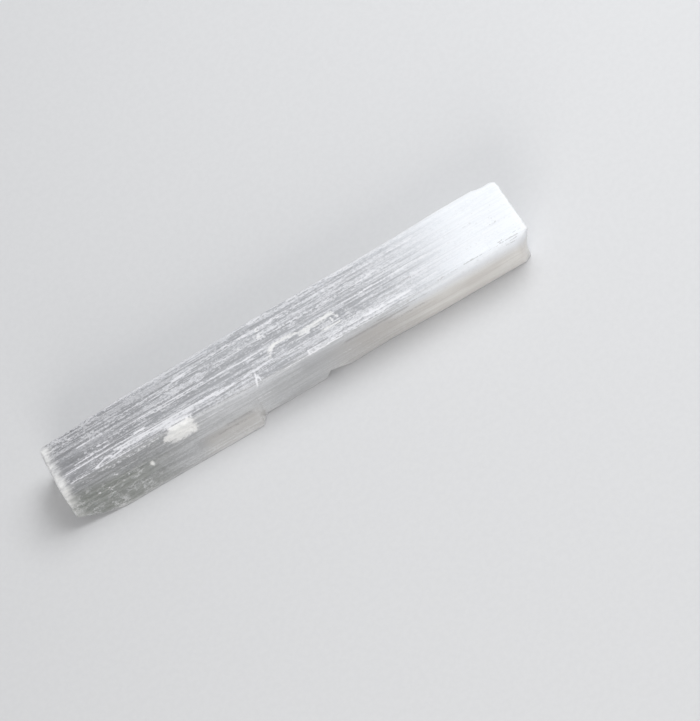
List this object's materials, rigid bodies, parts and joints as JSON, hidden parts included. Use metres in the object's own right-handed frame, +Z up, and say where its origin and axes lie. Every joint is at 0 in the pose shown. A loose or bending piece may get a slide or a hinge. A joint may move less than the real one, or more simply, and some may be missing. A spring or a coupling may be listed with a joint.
{
  "type": "selenite crystal blade",
  "caption": "Raw blade of fibrous selenite, split along its fibres, with broken ends, lying on a flat underside. For display, crafts or set dressing.",
  "frame": {"origin": "middle of the flat underside, on the surface that the blade lies on", "axes": "+X along the fibres towards the milky white end, +Y from the flared front edge to the back, +Z up from the underside to the top face"},
  "size_m": [0.1298, 0.0208, 0.0135],
  "materials": {
    "selenite": "silky fibrous gypsum, translucent grey at the left end and milky white at the right, with white streaks along the fibres"
  },
  "bodies": {
    "root": {"selenite_blade": "selenite"}
  },
  "joints": []
}
